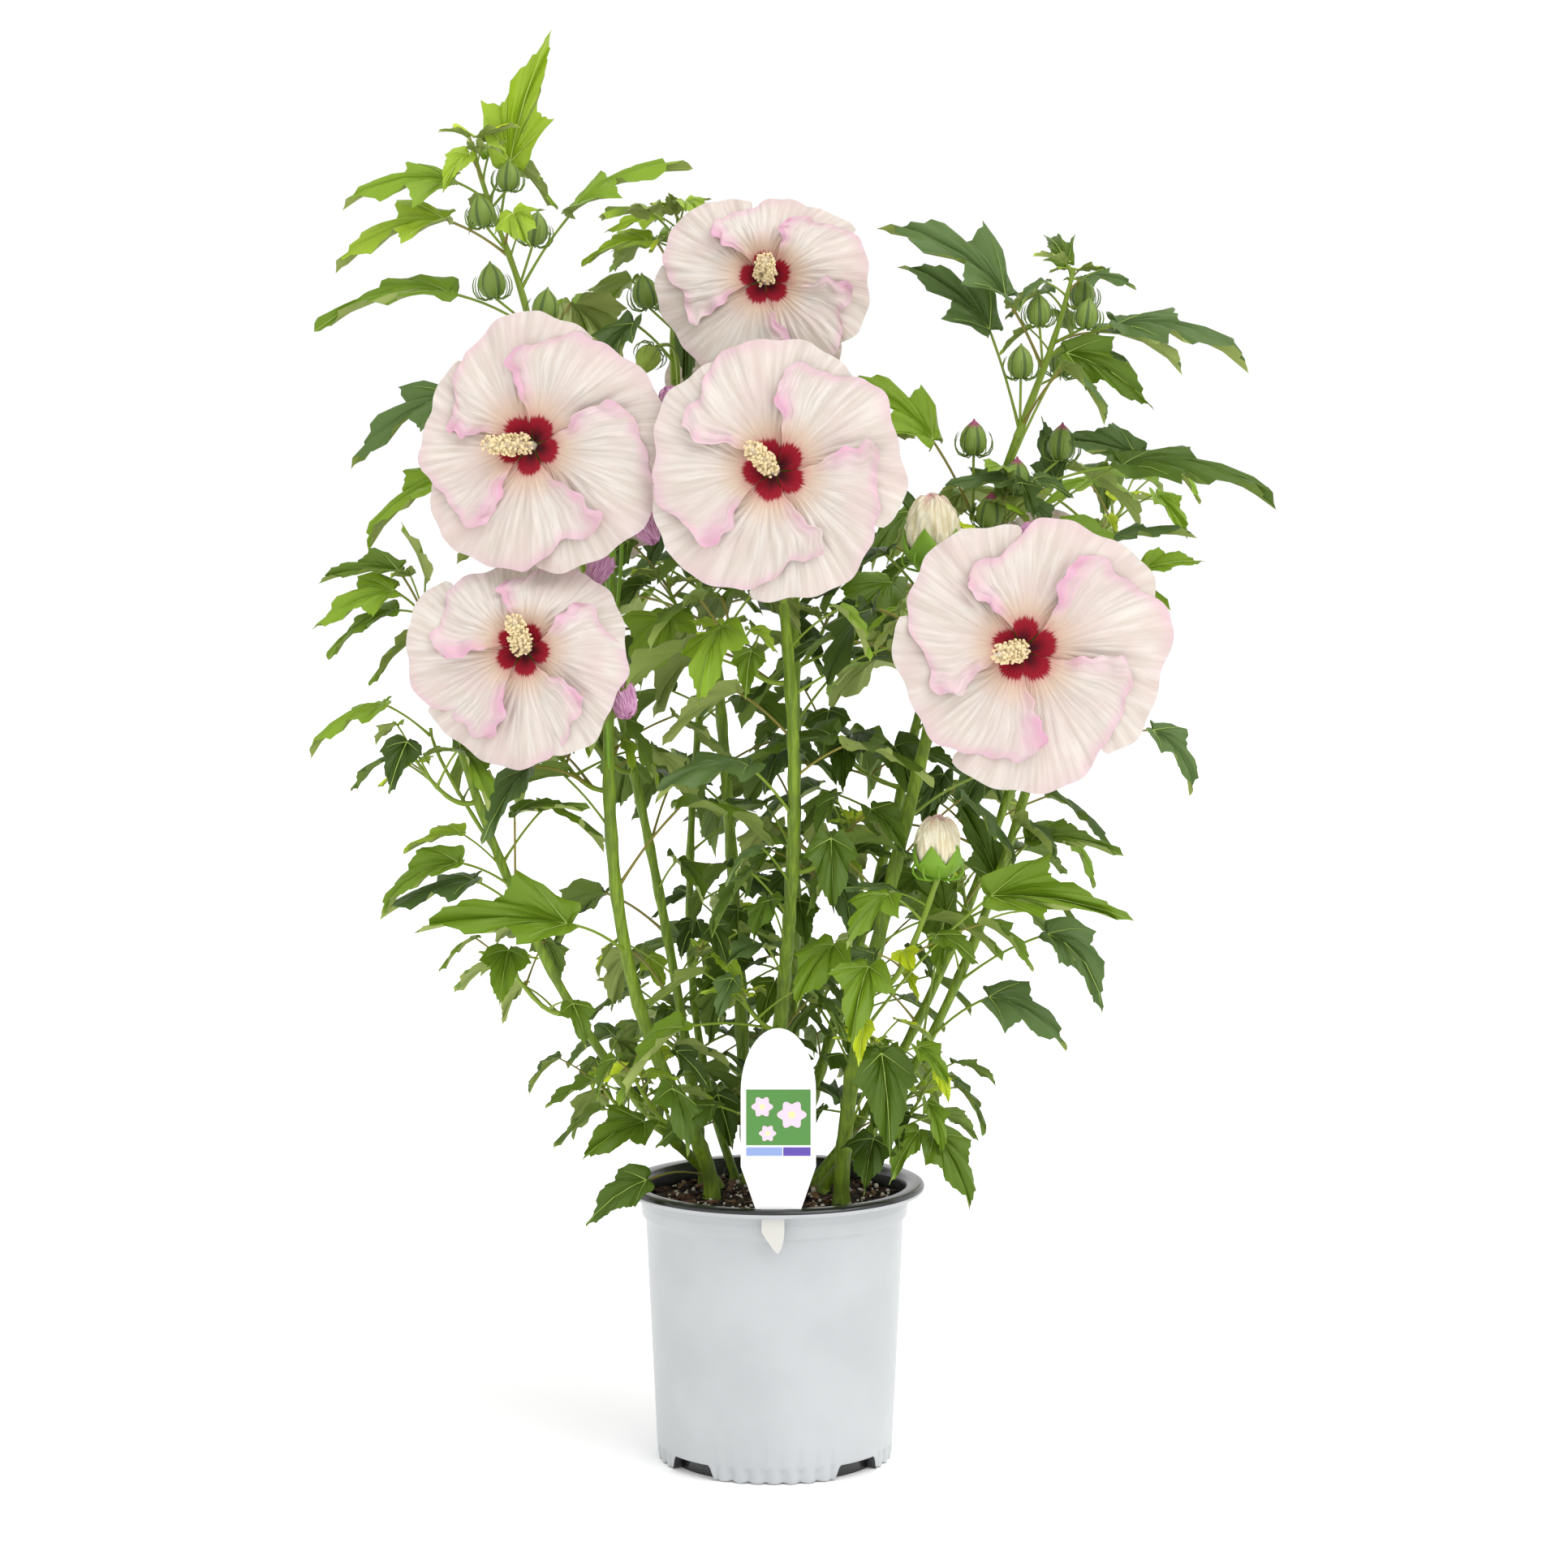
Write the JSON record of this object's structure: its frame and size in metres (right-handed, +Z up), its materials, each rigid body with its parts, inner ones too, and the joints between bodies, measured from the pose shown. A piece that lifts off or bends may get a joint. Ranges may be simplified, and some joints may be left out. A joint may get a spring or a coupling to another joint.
{
  "type": "potted rose mallow",
  "caption": "Potted ballet slippers rose mallow in full flower: upright leafy stems with very large blush white, red-eyed blooms, in a plain white nursery pot with a care tag",
  "frame": {"origin": "middle of the pot's flat underside, on the floor", "axes": "Z up; the large blooms and the tag face -Y; +X is to the right in the front view"},
  "size_m": [0.729, 0.4906, 1.0793],
  "materials": {
    "pot": "white outside, black inside and on the lip",
    "soil": "dark bark potting mix with white specks",
    "plant_tag": "white card-like plastic with a plain coloured panel",
    "stem": "smooth yellow-green herbaceous stem",
    "petals": "thin crinkled petals, blush white with pink edges and a crimson eye",
    "foliage": "matt mid green leaves, paler below"
  },
  "bodies": {
    "root": {"pot": "pot", "soil": "soil", "plant_tag": "plant_tag", "stem_left_low": "stem", "stem_left_tall": "stem", "stem_left_mid": "stem", "stem_back_left": "stem", "stem_back_slim": "stem", "stem_centre": "stem", "stem_centre_back": "stem", "stem_right_main": "stem", "stem_right_back": "stem", "stem_right_low": "stem", "stem_back_right": "stem", "bough_left_top": "stem", "bough_mid_top": "stem", "bough_right_top": "stem", "bloom_top": "petals", "bloom_left": "petals", "bloom_centre": "petals", "bloom_low_left": "petals", "bloom_right": "petals", "bloom_rear_left": "petals", "bloom_rear_top": "petals", "bloom_rear_right": "petals", "left_crest": "foliage", "right_crest": "foliage", "mid_crest": "foliage", "left_top_outer": "foliage", "right_top_inner": "foliage", "right_top_outer": "foliage", "bud_twig_high": "foliage", "bud_twig_low": "foliage", "foliage_right_back_tip": "foliage", "foliage_back_right_tip": "foliage", "foliage_back_slim_tip": "foliage", "foliage_centre_1": "foliage", "foliage_centre_2": "foliage", "foliage_centre_3": "foliage", "foliage_left_tall_1": "foliage", "foliage_left_tall_2": "foliage", "foliage_left_tall_3": "foliage", "foliage_right_back_1": "foliage", "foliage_right_back_2": "foliage", "foliage_left_low_1": "foliage", "foliage_left_low_2": "foliage", "foliage_left_low_3": "foliage", "foliage_right_low_1": "foliage", "foliage_right_low_2": "foliage", "foliage_left_mid_1": "foliage", "foliage_left_mid_2": "foliage", "foliage_centre_back_1": "foliage", "foliage_centre_back_2": "foliage", "foliage_centre_back_3": "foliage", "foliage_back_left_1": "foliage", "foliage_back_left_2": "foliage", "foliage_back_right_1": "foliage", "foliage_back_right_2": "foliage", "foliage_back_slim_1": "foliage", "foliage_right_main_1": "foliage"}
  },
  "joints": []
}
